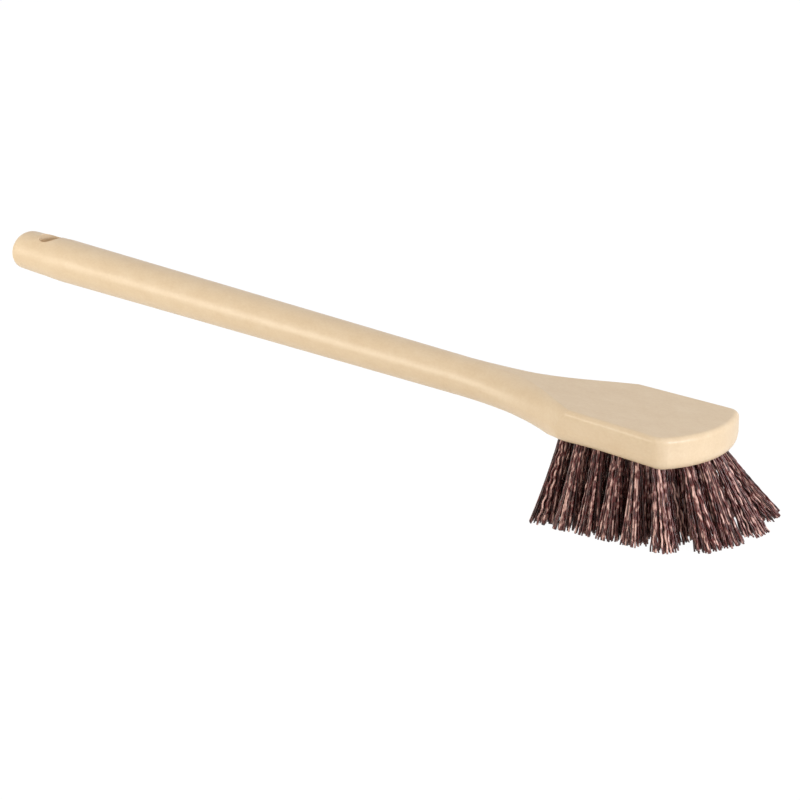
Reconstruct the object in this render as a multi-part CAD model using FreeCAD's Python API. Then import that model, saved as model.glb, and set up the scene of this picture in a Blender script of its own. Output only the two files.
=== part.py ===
import FreeCAD, Part
import math
import os

from FreeCAD import Vector

# Long-handled scrub brush: a moulded block with its handle, tufts of bristle and the anchors that hold them.
# Millimetres. The brush stands on its trimmed bristle ends: the origin lies on their plane, under the
# middle tuft, Z is up and X points from the handle to the nose. The solids are drawn with the head level
# and are then all turned by the tilt of the trim, which lifts the handle.

# Handle
OVERALL_LENGTH = 499.0
END_DIAMETER = 22.0
END_TAPER_LENGTH = 41.0
GRIP_DIAMETER = 24.3
NECK_DIAMETER = 19.0
NECK_DROP = 0.1
END_ROUNDING_TOP = 8.5
END_ROUNDING_LOW = 4.0
HANG_HOLE_DIAMETER = 12.5
HANG_HOLE_INSET = 26.5
HANG_HOLE_EASING = 0.8

# Head
HEAD_LENGTH = 65.0
HEAD_WIDTH = 53.5
HEAD_THICKNESS = 15.5
NOSE_SPREAD = 2.0
NOSE_BULGE = 10.5
NOSE_CORNER_RADIUS = 7.5
SHOULDER_RADIUS = 25.0
TOP_EDGE_RADIUS = 2.5
BOTTOM_EDGE_RADIUS = 5.0
PARTING_LAND = 0.9
PARTING_STEP = 0.25

# Flare between the handle and the head
FLARE_RADIUS = 220.0
FLARE_CLEARANCE = 0.5
NECK_BLEND_LENGTH = 30.0
NECK_SEAM_STEP = 0.05
ROUND_OVER_INSET = 0.15
ROUND_OVER_WIDTH = 11.5
RUN_OUT_WIDTH = 4.5
UNDER_ROUND_WIDTH = 15.0
RUN_OUT_LENGTH = 50.0
SHOULDER_OVERRUN = 12.0
CROWN_RISE = 0.2
CROWN_LENGTH = 25.0
UNDERSIDE_RELIEF = 6.0
RAMP_LENGTH = 75.0
RAMP_CLEARANCE = 0.3

# Tufts, in rows from -Y to +Y; the shifts of the rows are in pitches, towards the nose
TRIM_LENGTH = 40.0
TRIM_TILT = 4.8
TUFT_DIAMETER = 5.5
TUFT_TIP_DIAMETER = 10.0
TUFT_OVERLENGTH = 4.5
TUFT_LOBES = 10
LOBE_DEPTH = 0.22
TUFT_PITCH = 11.0
ROW_COUNTS = (6, 7, 7, 7, 6)
ROW_SHIFTS = (0.0, -0.2, 0.0, 0.0, 0.5)
NOSE_MARGIN = 8.0
SIDE_MARGIN = 9.0
REAR_MARGIN = 6.0
HOLE_DEPTH = 10.5
HOLE_CLEARANCE = 0.1
FOLD_CLEARANCE = 0.5
FOLD_THICKNESS = 1.2

# How far the tufts lean outwards, in degrees
NOSE_LEAN = 25.0
REAR_LEAN = 10.0
LEAN_GROWTH = 1.5
SIDE_LEAN = 7.5
CORNER_SPLAY_FORWARD = 5.0
CORNER_SPLAY_SIDEWAYS = 34.0

# Flat wire anchors
ANCHOR_WIDTH = 1.8
ANCHOR_THICKNESS = 0.5
ANCHOR_BITE = 0.9

# Fineness of the neck's loft, and the reach within which an edge counts as on a plane
NECK_SECTIONS = 16
SECTION_POINTS = 24
ON_PLANE = 1e-4

# Levels and stations that follow from the sizes
middle_row = len(ROW_COUNTS) // 2
field_half = (ROW_COUNTS[middle_row] - 1) / 2 * TUFT_PITCH
head_half = HEAD_WIDTH / 2
nose_half = head_half + NOSE_SPREAD
side_turn = math.atan2(NOSE_SPREAD, HEAD_LENGTH)
neck_radius = NECK_DIAMETER / 2
nose_x = field_half + NOSE_MARGIN
end_x = nose_x - OVERALL_LENGTH
grip_x = end_x + END_TAPER_LENGTH
shoulder_x = nose_x - HEAD_LENGTH
face_z = TRIM_LENGTH
top_z = face_z + HEAD_THICKNESS
parting_z = face_z + BOTTOM_EDGE_RADIUS + PARTING_LAND
axis_z = top_z - neck_radius - NECK_DROP
low_z = axis_z - neck_radius - RAMP_CLEARANCE
ramp_x = -RAMP_LENGTH
ramp_turn = 2 * math.atan2(face_z - low_z, RAMP_LENGTH)
ramp_radius = RAMP_LENGTH / (2 * math.sin(ramp_turn))
stand = FreeCAD.Placement(Vector(0, 0, 0), FreeCAD.Rotation(Vector(0, 1, 0), TRIM_TILT))

# The flare is a concave arc from the neck and a convex arc into the shoulder, tangent to each other
flare_half = neck_radius + FLARE_CLEARANCE
flare_turn = math.acos(1 - (head_half - flare_half) / (FLARE_RADIUS + SHOULDER_RADIUS))
flare_x = shoulder_x - (FLARE_RADIUS + SHOULDER_RADIUS) * math.sin(flare_turn)
flare_end_x = flare_x + FLARE_RADIUS * math.sin(flare_turn)
run_out_x = shoulder_x - RUN_OUT_LENGTH
past_shoulder_x = shoulder_x + SHOULDER_OVERRUN
rear_x = flare_x - REAR_MARGIN


def flare_rise(x):
    """Height of the concave flare arc over the neck's side at x."""
    reach = max(x - flare_x, 0.0)
    return FLARE_RADIUS - math.sqrt(FLARE_RADIUS**2 - reach**2)


def plan_half(x):
    """Half the width of the head and its flare at x, up to the nose corners."""
    if x <= flare_end_x:
        return flare_half + flare_rise(x)
    if x <= shoulder_x:
        return head_half - SHOULDER_RADIUS + math.sqrt(SHOULDER_RADIUS**2 - (shoulder_x - x) ** 2)
    return head_half + (x - shoulder_x) * math.tan(side_turn)


def underside_z(x):
    """Level of the head's underside at x: flat under the nose half, then two arcs down to the neck."""
    if x >= 0:
        return face_z
    if x >= ramp_x / 2:
        return face_z - ramp_radius + math.sqrt(ramp_radius**2 - x**2)
    return low_z + ramp_radius - math.sqrt(ramp_radius**2 - max(x - ramp_x, 0.0) ** 2)


def taper_radius(x):
    """Radius of the handle at x: a short taper up to the grip, then a long one down to the neck."""
    if x < grip_x:
        return (END_DIAMETER + (GRIP_DIAMETER - END_DIAMETER) * (x - end_x) / END_TAPER_LENGTH) / 2
    return (GRIP_DIAMETER + (NECK_DIAMETER - GRIP_DIAMETER) * (x - grip_x) / (flare_x - grip_x)) / 2


def smooth_step(share):
    """An S curve from 0 to 1."""
    held = min(max(share, 0.0), 1.0)
    return held * held * (3 - 2 * held)


def round_section(x):
    """Half width, widths of the upper and lower rounding, height over the axis and depth under it at x."""
    along = (x - flare_x) / (shoulder_x - flare_x)
    widening = min((x - flare_x) / (run_out_x - flare_x), 1.0)
    narrowing = smooth_step((x - run_out_x) / RUN_OUT_LENGTH)
    blend = smooth_step((x - flare_x) / NECK_BLEND_LENGTH)
    seam_radius = neck_radius - NECK_SEAM_STEP
    half = seam_radius + flare_rise(x) + (FLARE_CLEARANCE - ROUND_OVER_INSET) * blend
    upper = seam_radius + (ROUND_OVER_WIDTH - seam_radius) * widening
    upper += (RUN_OUT_WIDTH - ROUND_OVER_WIDTH) * narrowing
    lower = seam_radius + (UNDER_ROUND_WIDTH - seam_radius) * min(along, 1.0)
    height = seam_radius + CROWN_RISE * smooth_step((x - flare_x) / CROWN_LENGTH)
    depth = seam_radius + UNDERSIDE_RELIEF * along**4
    return half, min(upper, half), min(lower, half), height, depth


def section_wire(x):
    """Closed smooth outline of the rounded neck across X: elliptical sides, drawn apart by a flat middle."""
    half, upper, lower, height, depth = round_section(x)
    points = []
    for step in range(SECTION_POINTS):
        turn = 2 * math.pi * (step + 0.5) / SECTION_POINTS
        reach, rise = math.cos(turn), math.sin(turn)
        rounded, tall = (upper, height) if rise > 0 else (lower, depth)
        y = rounded * reach + math.copysign(half - rounded, reach)
        points.append(Vector(x, y, axis_z + rise * tall))
    curve = Part.BSplineCurve()
    curve.interpolate(Points=points, PeriodicFlag=True)
    return Part.Wire(curve.toShape())


def rounded_neck():
    """Loft from the handle's round section to one that stands clear of the head past the shoulder."""
    wires = []
    for step in range(NECK_SECTIONS + 1):
        wires.append(section_wire(flare_x + (past_shoulder_x - flare_x) * step / NECK_SECTIONS))
    return Part.makeLoft(wires, True, False)


def handle():
    """Round tapered handle, its end rounded more at the top than at the bottom."""
    end_radius = END_DIAMETER / 2
    outline = [Vector(x, 0, axis_z + taper_radius(x)) for x in (end_x, grip_x, flare_x)]
    axis_ends = [Vector(flare_x, 0, axis_z), Vector(end_x, 0, axis_z)]
    face = Part.Face(Part.makePolygon(outline + axis_ends + outline[:1]))
    side = face.revolve(Vector(0, 0, axis_z), Vector(1, 0, 0), 180)
    rims = []
    for edge in side.Edges:
        first, last = edge.ParameterRange
        middle = edge.valueAt((first + last) / 2)
        if abs(middle.x - end_x) < ON_PLANE and abs(middle.y) > end_radius - ON_PLANE:
            rims.append(edge)
    side = side.makeFillet(END_ROUNDING_TOP, END_ROUNDING_LOW, rims)
    return side.fuse(side.mirror(Vector(0, 0, 0), Vector(0, 1, 0))).removeSplitter()


def arc_edge(centre, radius, start, stop):
    """Arc in plan between two angles in radians."""
    points = []
    for turn in (start, (start + stop) / 2, stop):
        points.append(centre + Vector(math.cos(turn), math.sin(turn), 0) * radius)
    return Part.Arc(*points).toShape()


def head_plan(inset):
    """Face in plan of the head with its flare, drawn in by inset all round."""
    quarter = math.pi / 2
    neck_half = flare_half - inset
    nose_radius = (nose_half**2 + NOSE_BULGE**2) / (2 * NOSE_BULGE) - inset
    nose_centre = Vector(nose_x - inset - nose_radius, 0, 0)
    shoulder_centre = Vector(shoulder_x, head_half - SHOULDER_RADIUS, 0)
    along = Vector(math.cos(side_turn), math.sin(side_turn), 0)
    across = Vector(-math.sin(side_turn), math.cos(side_turn), 0)
    side_start = shoulder_centre + across * (SHOULDER_RADIUS - inset)

    # The nose corner touches the side and the nose arc from within
    corner = NOSE_CORNER_RADIUS - inset
    track = side_start - across * corner - nose_centre
    run = math.sqrt((nose_radius - corner) ** 2 - track.dot(across) ** 2) - track.dot(along)
    corner_centre = nose_centre + track + along * run
    corner_turn = math.atan2(corner_centre.y, corner_centre.x - nose_centre.x)

    flare_centre = Vector(flare_x, flare_half + FLARE_RADIUS, 0)
    upper = [
        Part.LineSegment(Vector(rear_x, neck_half, 0), Vector(flare_x, neck_half, 0)).toShape(),
        arc_edge(flare_centre, FLARE_RADIUS + inset, -quarter, flare_turn - quarter),
        arc_edge(shoulder_centre, SHOULDER_RADIUS - inset, quarter + flare_turn, quarter + side_turn),
        Part.LineSegment(side_start, corner_centre + across * corner).toShape(),
        arc_edge(corner_centre, corner, quarter + side_turn, corner_turn),
    ]
    lower = [edge.mirror(Vector(0, 0, 0), Vector(0, 1, 0)) for edge in upper]
    nose = arc_edge(nose_centre, nose_radius, corner_turn, -corner_turn)
    rear = Part.LineSegment(Vector(rear_x, -neck_half, 0), Vector(rear_x, neck_half, 0)).toShape()
    ordered = Part.__sortEdges__(upper + lower + [nose, rear])
    return Part.Face(Part.Wire(ordered))


def ease_edges(solid, radius, on_edge):
    """Rounds the edges of a solid that on_edge picks by their middle point."""
    edges = []
    for edge in solid.Edges:
        first, last = edge.ParameterRange
        if on_edge(edge.valueAt((first + last) / 2)):
            edges.append(edge)
    return solid.makeFillet(radius, edges)


def upper_head():
    """Half of the head over the parting plane, with its rounded top edge."""
    face = head_plan(0.0)
    face.translate(Vector(0, 0, parting_z))
    solid = face.extrude(Vector(0, 0, top_z - parting_z))

    def on_top_edge(point):
        return abs(point.z - top_z) < ON_PLANE and point.x > rear_x + ON_PLANE

    return ease_edges(solid, TOP_EDGE_RADIUS, on_top_edge)


def ramp_arc(centre_x, centre_z, start):
    """One of the two arcs of the underside's ramp, in the XZ plane, from an angle off the vertical."""
    points = []
    for share in (0.0, 0.5, 1.0):
        angle = start + ramp_turn * share
        x = centre_x + ramp_radius * math.sin(angle)
        points.append(Vector(x, 0, centre_z + ramp_radius * math.cos(angle)))
    return Part.Arc(*points).toShape()


def lower_head():
    """Half of the head under the parting plane, drawn in by the parting step, with a rounded bottom edge."""
    past_x = nose_x + NOSE_MARGIN
    corners = [
        Vector(0, 0, face_z),
        Vector(past_x, 0, face_z),
        Vector(past_x, 0, parting_z),
        Vector(rear_x, 0, parting_z),
        Vector(rear_x, 0, low_z),
        Vector(ramp_x, 0, low_z),
    ]
    edges = [Part.LineSegment(a, b).toShape() for a, b in zip(corners, corners[1:])]
    edges.append(ramp_arc(ramp_x, low_z + ramp_radius, math.pi - ramp_turn))
    edges.append(ramp_arc(0, face_z - ramp_radius, -ramp_turn))
    side = Part.Face(Part.Wire(Part.__sortEdges__(edges)))
    side.translate(Vector(0, -HEAD_WIDTH, 0))
    side_solid = side.extrude(Vector(0, 2 * HEAD_WIDTH, 0))
    solid = head_plan(PARTING_STEP).extrude(Vector(0, 0, top_z)).common(side_solid)

    def on_bottom_edge(point):
        outside = abs(point.y) > flare_half / 2 or point.x > field_half
        return outside and point.z < face_z + ON_PLANE and point.x > rear_x + ON_PLANE

    return ease_edges(solid, BOTTOM_EDGE_RADIUS, on_bottom_edge)


def tuft_places():
    """Node name, root on the face, and the two lean angles of each tuft, row by row."""
    side_y = head_half - SIDE_MARGIN
    places = []
    for row, (count, shift) in enumerate(zip(ROW_COUNTS, ROW_SHIFTS)):
        across = (row - middle_row) / middle_row
        for step in range(count):
            x = (shift + step) * TUFT_PITCH - field_half
            y_limit = plan_half(x) - SIDE_MARGIN
            y = max(-y_limit, min(y_limit, side_y * across))
            reach = (abs(x) / field_half) ** LEAN_GROWTH
            forward = NOSE_LEAN * reach if x > 0 else -REAR_LEAN * reach
            sideways = SIDE_LEAN * across
            splay = (max(x, 0.0) / field_half * max(across, 0.0)) ** 2
            forward += CORNER_SPLAY_FORWARD * splay
            sideways += CORNER_SPLAY_SIDEWAYS * splay
            name = f"tuft_row{row + 1}_{step + 1}"
            places.append((name, Vector(x, y, underside_z(x)), forward, sideways))
    return places


def tuft_placement(root, forward, sideways):
    """Frame of one tuft: its Z axis runs out of the block along the bristles, its X axis along the brush."""
    slope_x = math.tan(math.radians(forward))
    slope_y = math.tan(math.radians(sideways))
    outward = Vector(slope_x, slope_y, -1).normalize()
    turn = FreeCAD.Rotation(Vector(1, 0, 0), Vector(0, 0, 0), outward, "ZXY")
    return FreeCAD.Placement(root, turn)


def lobed_wire(radius, height):
    """Scalloped outline of a bundle of filaments, at a height along the tuft."""
    valley = radius - LOBE_DEPTH
    lobe_turn = 2 * math.pi / TUFT_LOBES

    def point(reach, turn):
        return Vector(reach * math.cos(turn), reach * math.sin(turn), height)

    edges = []
    for lobe in range(TUFT_LOBES):
        start = lobe * lobe_turn
        bulge = Part.Arc(
            point(valley, start),
            point(radius, start + lobe_turn / 2),
            point(valley, start + lobe_turn),
        )
        edges.append(bulge.toShape())
    return Part.Wire(edges)


def anchor_solid():
    """Flat wire across the fold of a tuft, in the tuft's own frame, biting into the block at both ends."""
    length = TUFT_DIAMETER + 2 * HOLE_CLEARANCE + 2 * ANCHOR_BITE
    depth = HOLE_DEPTH - FOLD_CLEARANCE - FOLD_THICKNESS
    corner = Vector(-length / 2, -ANCHOR_THICKNESS / 2, -depth)
    return Part.makeBox(length, ANCHOR_THICKNESS, ANCHOR_WIDTH, corner)


def tuft_solid(placement):
    """One tuft: a folded root in its hole round the anchor, fanning out to its trimmed end."""
    root_radius = TUFT_DIAMETER / 2
    tip_radius = TUFT_TIP_DIAMETER / 2
    root_z = FOLD_CLEARANCE - HOLE_DEPTH
    fold_z = root_z + FOLD_THICKNESS
    tip_z = TRIM_LENGTH + TUFT_OVERLENGTH
    profile = [
        (root_radius - FOLD_THICKNESS, root_z),
        (root_radius, fold_z),
        (root_radius, 0.0),
        (tip_radius, tip_z),
    ]
    wires = [lobed_wire(radius, height) for radius, height in profile]
    solid = Part.makeLoft(wires, True, True).cut(anchor_solid())
    solid.Placement = stand.multiply(placement)
    below_trim = Part.makeBox(OVERALL_LENGTH, OVERALL_LENGTH, TRIM_LENGTH)
    below_trim.translate(Vector(-OVERALL_LENGTH / 2, -OVERALL_LENGTH / 2, -TRIM_LENGTH))
    return solid.cut(below_trim)


def tuft_hole(placement):
    """Blind hole of one tuft, running out past the face."""
    radius = TUFT_DIAMETER / 2 + HOLE_CLEARANCE
    hole = Part.makeCylinder(radius, HOLE_DEPTH + TUFT_DIAMETER, Vector(0, 0, -HOLE_DEPTH))
    hole.Placement = placement
    return hole


def hang_hole():
    """Hole down through the handle near its end, with both rims eased by a cone."""
    centre = Vector(end_x + HANG_HOLE_INSET, 0, axis_z)
    radius = HANG_HOLE_DIAMETER / 2
    crest = taper_radius(centre.x)
    sag = crest - math.sqrt(crest**2 - radius**2)
    ease = sag + HANG_HOLE_EASING
    hole = Part.makeCylinder(radius, 2 * GRIP_DIAMETER, centre - Vector(0, 0, GRIP_DIAMETER))
    for side in (1, -1):
        foot = centre + Vector(0, 0, side * (crest - ease))
        rim = Part.makeCone(radius, radius + ease, 2 * ease, foot, Vector(0, 0, side))
        hole = hole.fuse(rim)
    return hole


def handle_block(placements):
    """The moulded handle and head in one piece, drilled for the tufts."""
    start_x = rear_x - REAR_MARGIN
    around_neck = Part.makeBox(past_shoulder_x - start_x, 2 * HEAD_WIDTH, 2 * top_z)
    around_neck.translate(Vector(start_x, -HEAD_WIDTH, 0))
    outline = upper_head().fuse(lower_head())
    head = outline.cut(around_neck.cut(rounded_neck()))
    block = handle().fuse(head)
    holes = [tuft_hole(placement) for placement in placements]
    pockets = [placed_anchor(placement) for placement in placements]
    return block.cut(holes + pockets + [hang_hole()])


def placed_anchor(placement):
    """The anchor of one tuft, in its place."""
    anchor = anchor_solid()
    anchor.Placement = placement
    return anchor


def main():
    os.makedirs("parts", exist_ok=True)
    tufts = [(name, tuft_placement(*place)) for name, *place in tuft_places()]
    placements = [placement for name, placement in tufts]
    block = handle_block(placements)
    block.Placement = stand
    block.exportStep("parts/handle_block.step")
    anchors = Part.makeCompound([placed_anchor(placement) for placement in placements])
    anchors.Placement = stand
    anchors.exportStep("parts/anchor_staples.step")
    for name, placement in tufts:
        tuft_solid(placement).exportStep(f"parts/{name}.step")


main()
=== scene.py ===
import math

import bpy
import numpy as np
from mathutils import Matrix, Vector


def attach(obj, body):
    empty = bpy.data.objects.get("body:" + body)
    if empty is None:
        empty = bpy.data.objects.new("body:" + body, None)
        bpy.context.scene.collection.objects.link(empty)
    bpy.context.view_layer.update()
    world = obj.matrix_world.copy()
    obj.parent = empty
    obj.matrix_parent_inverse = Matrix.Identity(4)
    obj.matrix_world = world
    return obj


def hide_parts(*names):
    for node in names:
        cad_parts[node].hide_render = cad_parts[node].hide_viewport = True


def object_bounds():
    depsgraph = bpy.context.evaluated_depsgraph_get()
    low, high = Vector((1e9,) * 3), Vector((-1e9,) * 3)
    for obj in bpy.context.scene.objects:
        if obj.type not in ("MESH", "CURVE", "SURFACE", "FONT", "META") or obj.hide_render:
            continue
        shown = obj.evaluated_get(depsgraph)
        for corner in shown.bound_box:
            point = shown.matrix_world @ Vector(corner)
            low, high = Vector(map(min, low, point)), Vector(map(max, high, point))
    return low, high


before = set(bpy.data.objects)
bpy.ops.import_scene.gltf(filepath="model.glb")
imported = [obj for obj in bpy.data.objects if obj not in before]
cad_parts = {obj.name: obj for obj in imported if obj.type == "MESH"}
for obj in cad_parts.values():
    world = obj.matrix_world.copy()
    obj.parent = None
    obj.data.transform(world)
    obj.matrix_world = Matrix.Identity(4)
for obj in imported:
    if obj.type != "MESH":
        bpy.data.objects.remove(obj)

# Long-handled scrub brush, in metres and in the part's frame.
# The CAD block and anchors keep their shape and get materials here.
# Each CAD tuft is replaced by a bundle of crimped filaments that follows it.

cad_low, cad_high = [list(corner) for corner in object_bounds()]

# Filaments: how many a tuft has, how thick they are and how finely they are meshed
SEED = 20
FILAMENTS = 56
FILAMENT_RADIUS = 0.00042
FILAMENT_SIDES = 6
FILAMENT_RINGS = 42

# Fan of a tuft, from the fold in its hole, past the hole's mouth, to its trimmed end
ROOT_RADIUS = 0.0024
ROOT_JITTER = 0.00012
TURN_JITTER = 0.3
GOLDEN_TURN = math.pi * (3 - math.sqrt(5))
TIP_FLARE = 2.75
TIP_SCATTER = 0.0003
MOUTH_DISTANCE = 0.0100
FAN_POWER = 1.5
TRIM_RAGGEDNESS = 0.0002

# Crimp: a wave that the filaments of a tuft share, with a spread, and a share of them nearly straight
CRIMP_AMPLITUDE = 0.0003
CRIMP_AMPLITUDE_RANGE = (0.5, 1.3)
CRIMP_LENGTH = 0.0070
CRIMP_LENGTH_RANGE = (0.92, 1.1)
CRIMP_TURN_SPREAD = 0.5
CRIMP_PHASE_SPREAD = 0.9
CRIMP_START = 0.1
STRAIGHT_SHARE = 0.3
STRAIGHT_CRIMP = 0.1

# Bands of points that are read as a CAD tuft's trimmed end and as the cap of its fold
END_SKIN = 0.0001
CAP_SKIN = 0.0003

# Room that the filaments and the middles of their tips keep inside the CAD box
BOX_CLEARANCE = 0.0001
skin_low = np.array(cad_low) + BOX_CLEARANCE
skin_high = np.array(cad_high) - BOX_CLEARANCE
tip_margin = BOX_CLEARANCE + FILAMENT_RADIUS + CRIMP_AMPLITUDE
tip_low = np.array(cad_low) + tip_margin
tip_high = np.array(cad_high) - tip_margin

# Tones of the materials: places on a ramp, each with a colour in 8-bit screen values
BLOCK_TONES = ((0.3, (232, 204, 163)), (0.5, (238, 212, 173)), (0.7, (243, 219, 182)))
# Bristles: the light, pinkish white stop is partly a lighter tone of some filaments and partly painted
# highlight, the light dashes that stand in for the glints of the crimped filaments
BRISTLE_TONES_AND_HIGHLIGHTS = ((0.25, (46, 16, 15)), (0.6, (108, 48, 44)), (0.82, (240, 194, 176)))
WIRE_TONES = ((0.3, (168, 164, 158)), (0.7, (206, 203, 198)))
BRISTLE_GLOSS_TINT = (1.0, 0.84, 0.78, 1.0)
# Step between filaments along the noise that lays the painted highlight dashes
HIGHLIGHT_DASH_STEP = 1000.0
WHITE = (1.0, 1.0, 1.0, 1.0)

# Camera, in the frame in which the head is level; the part stands turned by the tilt of its trim
TRIM_TILT = math.radians(4.8)
VIEW_AZIMUTH = math.radians(44.93)
VIEW_ELEVATION = math.radians(18.63)
VIEW_ROLL = math.radians(-0.58)
VIEW_TARGET = Vector((-0.0880, -0.0664, 0.0555))
VIEW_DISTANCE = 1.0945
LENS = 109.0
SENSOR = 36.0

# Stage; a light has a name, a place, a size, a power and a tint
FLOOR_SIZE = 12.0
FLOOR_TINT = (0.9, 0.9, 0.9, 1.0)
FLOOR_GLOW = 1.06
GLOW_SHARE = 0.92
FILL_TINT = (1.0, 0.96, 0.98, 1.0)
FILL_STRENGTH = 0.45
LIGHT_TARGET = (-0.12, 0.0, 0.05)
LIGHTS = (
    ("key", (1.35, -0.15, 0.20), 0.6, 15.0, (0.86, 0.90, 1.0)),
    ("side", (-1.05, -1.00, 0.12), 0.7, 11.5, (1.0, 0.96, 0.85)),
    ("top", (0.20, 0.15, 1.10), 0.9, 1.7, (0.94, 0.96, 1.0)),
)


def new_material(name):
    """A material with an empty node tree."""
    material = bpy.data.materials.new(name)
    material.use_nodes = True
    material.node_tree.nodes.clear()
    return material


def add(tree, kind, inputs=None, **settings):
    """A node with its settings and the values of its sockets."""
    node = tree.nodes.new(kind)
    for name, value in settings.items():
        setattr(node, name, value)
    for name, value in (inputs or {}).items():
        node.inputs[name].default_value = value
    return node


def linear(screen):
    """A linear colour from 8-bit sRGB values."""
    channels = []
    for value in screen:
        share = value / 255
        channels.append(share / 12.92 if share <= 0.04045 else ((share + 0.055) / 1.055) ** 2.4)
    return (*channels, 1.0)


def add_ramp(tree, tones):
    """A colour ramp through the tones of a material."""
    node = add(tree, "ShaderNodeValToRGB")
    elements = node.color_ramp.elements
    while len(elements) > 1:
        elements.remove(elements[-1])
    first_place, first_screen = tones[0]
    elements[0].position = first_place
    elements[0].color = linear(first_screen)
    for place, screen in tones[1:]:
        elements.new(place).color = linear(screen)
    return node


def block_material():
    """Cream structural foam plastic: matte, faintly mottled, with a skin that is not quite smooth."""
    material = new_material("cream_foam_plastic")
    tree = material.node_tree
    place = add(tree, "ShaderNodeTexCoord")
    stretch = add(tree, "ShaderNodeMapping", {"Scale": (0.6, 1.0, 1.0)})
    cloud = add(tree, "ShaderNodeTexNoise", {"Scale": 130.0, "Detail": 4.0, "Roughness": 0.6})
    speck = add(tree, "ShaderNodeTexNoise", {"Scale": 900.0, "Detail": 3.0, "Roughness": 0.65})
    blend = add(tree, "ShaderNodeMix", {"Factor": 0.45}, data_type="FLOAT")
    ramp = add_ramp(tree, BLOCK_TONES)
    bump = add(tree, "ShaderNodeBump", {"Strength": 0.12, "Distance": 0.0004})
    shader = add(tree, "ShaderNodeBsdfPrincipled", {"Roughness": 0.4, "Specular IOR Level": 0.5})
    output = add(tree, "ShaderNodeOutputMaterial")
    link = tree.links.new
    link(place.outputs["Object"], stretch.inputs["Vector"])
    link(stretch.outputs["Vector"], cloud.inputs["Vector"])
    link(stretch.outputs["Vector"], speck.inputs["Vector"])
    link(cloud.outputs["Fac"], blend.inputs["A"])
    link(speck.outputs["Fac"], blend.inputs["B"])
    link(blend.outputs["Result"], ramp.inputs["Fac"])
    link(ramp.outputs["Color"], shader.inputs["Base Color"])
    link(speck.outputs["Fac"], bump.inputs["Height"])
    link(bump.outputs["Normal"], shader.inputs["Normal"])
    link(shader.outputs["BSDF"], output.inputs["Surface"])
    return material


def bristle_material():
    """Glossy maroon brown filament, each filament with a tone and a noise of its own; the noise lays
    lighter stretches along the filaments, which are painted highlights that stand in for the glints of
    their crimp.
    """
    material = new_material("maroon_filament")
    tree = material.node_tree
    tone = add(tree, "ShaderNodeAttribute", attribute_name="tone")
    place = add(tree, "ShaderNodeTexCoord")
    stretch = add(tree, "ShaderNodeMapping", {"Scale": (0.4, 0.4, 1.0)})
    # Painted highlight: this noise, its own for each filament, lays light dashes along the filaments in
    # the place of the glints of their crimp
    noise = add(tree, "ShaderNodeTexNoise", {"Scale": 260.0, "Detail": 1.0}, noise_dimensions="4D")
    own = add(tree, "ShaderNodeMath", {1: HIGHLIGHT_DASH_STEP}, operation="MULTIPLY")
    spread = add(tree, "ShaderNodeMapRange", {"From Min": 0.34, "From Max": 0.66})
    blend = add(tree, "ShaderNodeMix", {"Factor": 0.55}, data_type="FLOAT")
    ramp = add_ramp(tree, BRISTLE_TONES_AND_HIGHLIGHTS)
    shader = add(tree, "ShaderNodeBsdfPrincipled", {"Roughness": 0.25, "Specular IOR Level": 0.6})
    shader.inputs["Specular Tint"].default_value = BRISTLE_GLOSS_TINT
    output = add(tree, "ShaderNodeOutputMaterial")
    link = tree.links.new
    link(place.outputs["Object"], stretch.inputs["Vector"])
    link(stretch.outputs["Vector"], noise.inputs["Vector"])
    link(tone.outputs["Fac"], own.inputs[0])
    link(own.outputs["Value"], noise.inputs["W"])
    link(noise.outputs["Fac"], spread.inputs["Value"])
    link(tone.outputs["Fac"], blend.inputs["A"])
    link(spread.outputs["Result"], blend.inputs["B"])
    link(blend.outputs["Result"], ramp.inputs["Fac"])
    link(ramp.outputs["Color"], shader.inputs["Base Color"])
    link(shader.outputs["BSDF"], output.inputs["Surface"])
    return material


def wire_material():
    """Bright drawn wire."""
    material = new_material("anchor_wire")
    tree = material.node_tree
    place = add(tree, "ShaderNodeTexCoord")
    noise = add(tree, "ShaderNodeTexNoise", {"Scale": 1500.0, "Detail": 2.0})
    ramp = add_ramp(tree, WIRE_TONES)
    shader = add(tree, "ShaderNodeBsdfPrincipled", {"Metallic": 1.0, "Roughness": 0.32})
    output = add(tree, "ShaderNodeOutputMaterial")
    link = tree.links.new
    link(place.outputs["Object"], noise.inputs["Vector"])
    link(noise.outputs["Fac"], ramp.inputs["Fac"])
    link(ramp.outputs["Color"], shader.inputs["Base Color"])
    link(shader.outputs["BSDF"], output.inputs["Surface"])
    return material


def seen_share(tree):
    """One for what the camera sees straight, in gloss or through glass, and nought for other light."""
    rays = add(tree, "ShaderNodeLightPath")
    gloss = add(tree, "ShaderNodeMath", operation="MAXIMUM")
    clear = add(tree, "ShaderNodeMath", operation="MAXIMUM")
    link = tree.links.new
    link(rays.outputs["Is Camera Ray"], gloss.inputs[0])
    link(rays.outputs["Is Glossy Ray"], gloss.inputs[1])
    link(gloss.outputs["Value"], clear.inputs[0])
    link(rays.outputs["Is Transmission Ray"], clear.inputs[1])
    return clear.outputs["Value"]


def floor_material():
    """Pale floor that the camera sees as near white, with soft shadows still on it."""
    material = new_material("pale_floor")
    tree = material.node_tree
    matte = add(tree, "ShaderNodeBsdfDiffuse", {"Color": FLOOR_TINT})
    white = add(tree, "ShaderNodeEmission", {"Color": WHITE, "Strength": FLOOR_GLOW})
    share = add(tree, "ShaderNodeMath", {1: GLOW_SHARE}, operation="MULTIPLY")
    mix = add(tree, "ShaderNodeMixShader")
    output = add(tree, "ShaderNodeOutputMaterial")
    link = tree.links.new
    link(seen_share(tree), share.inputs[0])
    link(share.outputs["Value"], mix.inputs["Fac"])
    link(matte.outputs["BSDF"], mix.inputs[1])
    link(white.outputs["Emission"], mix.inputs[2])
    link(mix.outputs["Shader"], output.inputs["Surface"])
    return material


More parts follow.
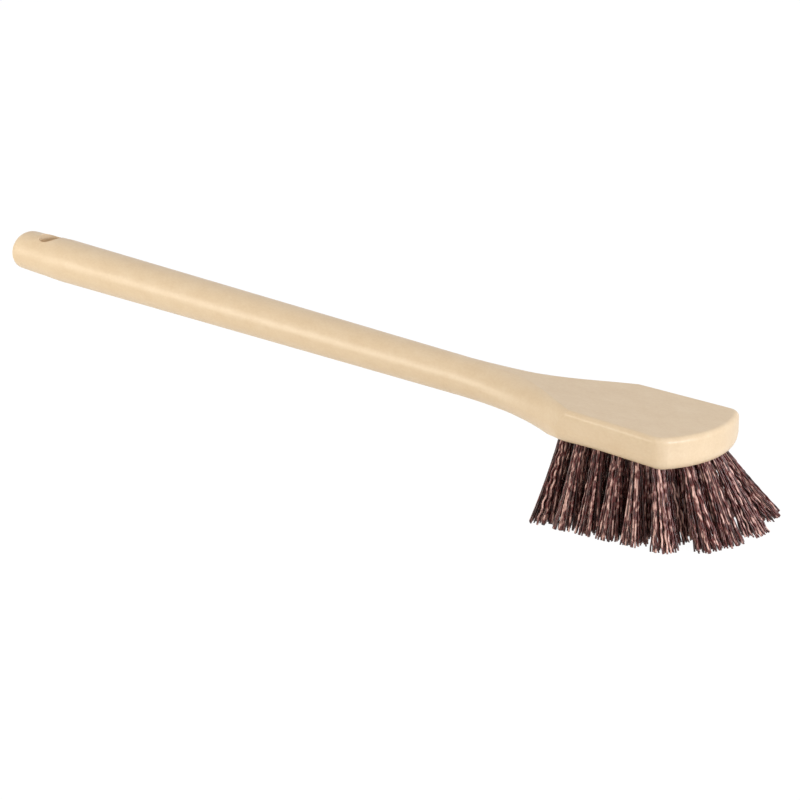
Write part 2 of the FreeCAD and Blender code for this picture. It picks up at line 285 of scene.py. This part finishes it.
def node_points(node):
    """The corner points of a CAD node's mesh."""
    points = np.empty(len(node.data.vertices) * 3)
    node.data.vertices.foreach_get("co", points)
    return points.reshape(-1, 3)


def tuft_axis(node):
    """Middle of a CAD tuft's fold, the direction from it to the trimmed end, and the tuft's length."""
    points = node_points(node)
    trimmed = points[points[:, 2] < points[:, 2].min() + END_SKIN]
    end = (trimmed.min(axis=0) + trimmed.max(axis=0)) / 2
    reach = np.linalg.norm(points - end, axis=1)
    root = points[reach > reach.max() - CAP_SKIN].mean(axis=0)
    axis = (end - root) / np.linalg.norm(end - root)
    return root, axis, ((points - root) @ axis).max()


def cross_axes(axis):
    """Two unit vectors across an axis."""
    side = np.cross(axis, (0.0, 1.0, 0.0))
    side /= np.linalg.norm(side)
    return side, np.cross(axis, side)


def fan_offsets(index, side, other, rng):
    """How far a filament stands off its tuft's axis at the fold and at the trimmed end."""
    spread = math.sqrt((index + 0.5) / FILAMENTS)
    turn = index * GOLDEN_TURN + rng.uniform(-TURN_JITTER, TURN_JITTER)
    ring = math.cos(turn) * side + math.sin(turn) * other
    jitter = rng.normal(0.0, ROOT_JITTER, 2)
    start = ROOT_RADIUS * spread * ring + jitter[0] * side + jitter[1] * other
    scatter = rng.normal(0.0, TIP_SCATTER, 2)
    finish = ROOT_RADIUS * TIP_FLARE * spread * ring + scatter[0] * side + scatter[1] * other
    return start, finish


def crimp_swing(along, out, crimp, side, other, rng):
    """Sideways wave of a filament, which grows from the hole's mouth and is close to its tuft's wave."""
    crimp_turn, phase = crimp + rng.normal(0.0, (CRIMP_TURN_SPREAD, CRIMP_PHASE_SPREAD))
    crimp_axis = math.cos(crimp_turn) * side + math.sin(crimp_turn) * other
    wave = CRIMP_LENGTH * rng.uniform(*CRIMP_LENGTH_RANGE)
    amplitude = CRIMP_AMPLITUDE * rng.uniform(*CRIMP_AMPLITUDE_RANGE)
    if rng.uniform() < STRAIGHT_SHARE:
        amplitude *= STRAIGHT_CRIMP
    growth = np.minimum(out / CRIMP_START, 1.0)
    swing = amplitude * growth * np.sin(2 * math.pi * along / wave + phase)
    return swing[:, None] * crimp_axis


def filament_path(root, axis, length, index, crimp, rng):
    """Points along one filament, from its fold to its trimmed end, and the level of that end."""
    side, other = cross_axes(axis)
    start, finish = fan_offsets(index, side, other, rng)
    level = rng.uniform(0.0, 1.0) ** 2 * TRIM_RAGGEDNESS
    reach = min((root[2] + finish[2] - level) / -axis[2], length - level)
    tip = root + reach * axis + finish
    finish[:2] += np.clip(tip, tip_low, tip_high)[:2] - tip[:2]
    along = np.linspace(0.0, reach, FILAMENT_RINGS)
    out = np.clip((along - MOUTH_DISTANCE) / (length - MOUTH_DISTANCE), 0.0, 1.0)
    fan = (out**FAN_POWER)[:, None]
    swing = crimp_swing(along, out, crimp, side, other, rng)
    path = root + along[:, None] * axis + start * (1 - fan) + finish * fan + swing
    return path, level


def tube_points(path, level):
    """Rings of points round a path, none below the level of its trimmed end or outside the CAD box."""
    tangent = np.gradient(path, axis=0)
    tangent /= np.linalg.norm(tangent, axis=1)[:, None]
    across = np.cross(tangent, (0.0, 1.0, 0.0))
    across /= np.linalg.norm(across, axis=1)[:, None]
    over = np.cross(tangent, across)
    turns = np.arange(FILAMENT_SIDES) * 2 * math.pi / FILAMENT_SIDES
    cosines = np.cos(turns)[None, :, None]
    sines = np.sin(turns)[None, :, None]
    rings = cosines * across[:, None, :] + sines * over[:, None, :]
    points = path[:, None, :] + FILAMENT_RADIUS * rings
    points = np.clip(points, skin_low, skin_high)
    points[:, :, 2] = np.maximum(points[:, :, 2], level)
    return points.reshape(-1, 3)


def tube_faces(first):
    """Faces of one tube whose points start at the index first: its sides and its two ends."""
    faces = []
    for ring in range(FILAMENT_RINGS - 1):
        base = first + ring * FILAMENT_SIDES
        beyond = base + FILAMENT_SIDES
        for side in range(FILAMENT_SIDES):
            after = (side + 1) % FILAMENT_SIDES
            faces.append((base + side, base + after, beyond + after, beyond + side))
    last = first + (FILAMENT_RINGS - 1) * FILAMENT_SIDES
    faces.append(tuple(range(first + FILAMENT_SIDES - 1, first - 1, -1)))
    faces.append(tuple(range(last, last + FILAMENT_SIDES)))
    return faces


def filament_tuft(node, material, rng):
    """A bundle of crimped filaments in the place of a CAD tuft, smooth but for their ends."""
    root, axis, length = tuft_axis(node)
    crimp = rng.uniform(0.0, 2 * math.pi, 2)
    points = []
    faces = []
    tones = []
    for index in range(FILAMENTS):
        path, level = filament_path(root, axis, length, index, crimp, rng)
        faces += tube_faces(len(tones))
        points.append(tube_points(path, level))
        tones += [rng.uniform()] * (FILAMENT_RINGS * FILAMENT_SIDES)
    mesh = bpy.data.meshes.new(f"{node.name}_filaments")
    mesh.from_pydata(np.concatenate(points).tolist(), [], faces)
    mesh.polygons.foreach_set("use_smooth", [len(face) == 4 for face in faces])
    mesh.attributes.new("tone", "FLOAT", "POINT").data.foreach_set("value", tones)
    mesh.materials.append(material)
    mesh.update()
    bundle = bpy.data.objects.new(f"{node.name}_filaments", mesh)
    bpy.context.scene.collection.objects.link(bundle)
    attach(bundle, "root")
    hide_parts(node.name)


def paint(node, material):
    """Gives a CAD node one material."""
    node.data.materials.clear()
    node.data.materials.append(material)


def add_camera():
    """The photograph's camera."""
    flat = math.cos(VIEW_ELEVATION)
    sine = math.sin(VIEW_AZIMUTH)
    cosine = math.cos(VIEW_AZIMUTH)
    ahead = Vector((-sine * flat, cosine * flat, -math.sin(VIEW_ELEVATION)))
    level = Vector((cosine, sine, 0.0))
    upright = level.cross(ahead)
    right = math.cos(VIEW_ROLL) * level + math.sin(VIEW_ROLL) * upright
    up = math.cos(VIEW_ROLL) * upright - math.sin(VIEW_ROLL) * level
    turn = Matrix.Rotation(TRIM_TILT, 3, "Y")
    axes = Matrix((turn @ right, turn @ up, turn @ -ahead)).transposed()
    lens = bpy.data.cameras.new("photo_camera")
    lens.lens = LENS
    lens.sensor_width = SENSOR
    lens.clip_end = 2 * FLOOR_SIZE
    camera = bpy.data.objects.new("photo_camera", lens)
    place = turn @ (VIEW_TARGET - ahead * VIEW_DISTANCE)
    camera.matrix_world = Matrix.Translation(place) @ axes.to_4x4()
    bpy.context.scene.collection.objects.link(camera)
    bpy.context.scene.camera = camera


def add_light(name, place, size, power, tint):
    """A square soft light at a place, aimed at the brush."""
    light = bpy.data.lights.new(name, "AREA")
    light.size = size
    light.energy = power
    light.color = tint
    lamp = bpy.data.objects.new(name, light)
    lamp.location = place
    aim = Vector(LIGHT_TARGET) - Vector(place)
    lamp.rotation_euler = aim.to_track_quat("-Z", "Y").to_euler()
    bpy.context.scene.collection.objects.link(lamp)


def add_world():
    """White to the camera and in gloss, and an even soft light to everything else."""
    world = bpy.data.worlds.new("studio")
    world.use_nodes = True
    tree = world.node_tree
    tree.nodes.clear()
    fill = add(tree, "ShaderNodeBackground", {"Color": FILL_TINT, "Strength": FILL_STRENGTH})
    seen = add(tree, "ShaderNodeBackground", {"Color": WHITE, "Strength": 1.0})
    mix = add(tree, "ShaderNodeMixShader")
    output = add(tree, "ShaderNodeOutputWorld")
    link = tree.links.new
    link(seen_share(tree), mix.inputs["Fac"])
    link(fill.outputs["Background"], mix.inputs[1])
    link(seen.outputs["Background"], mix.inputs[2])
    link(mix.outputs["Shader"], output.inputs["Surface"])
    bpy.context.scene.world = world


def add_floor():
    """Plain floor under the bristle ends."""
    half = FLOOR_SIZE / 2
    corners = [(-half, -half, 0.0), (half, -half, 0.0), (half, half, 0.0), (-half, half, 0.0)]
    mesh = bpy.data.meshes.new("floor")
    mesh.from_pydata(corners, [], [(0, 1, 2, 3)])
    mesh.materials.append(floor_material())
    floor = bpy.data.objects.new("floor", mesh)
    bpy.context.scene.collection.objects.link(floor)


def dress():
    """Materials on the CAD pieces that stay, and filaments in the place of every tuft."""
    rng = np.random.default_rng(SEED)
    bristle = bristle_material()
    for name in sorted(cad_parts):
        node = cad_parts[name]
        if name.startswith("tuft_"):
            paint(node, bristle)
            filament_tuft(node, bristle, rng)
        elif name == "anchor_staples":
            paint(node, wire_material())
        else:
            paint(node, block_material())


dress()
add_floor()
add_world()
for light in LIGHTS:
    add_light(*light)
add_camera()
bpy.context.scene.view_settings.view_transform = "Standard"
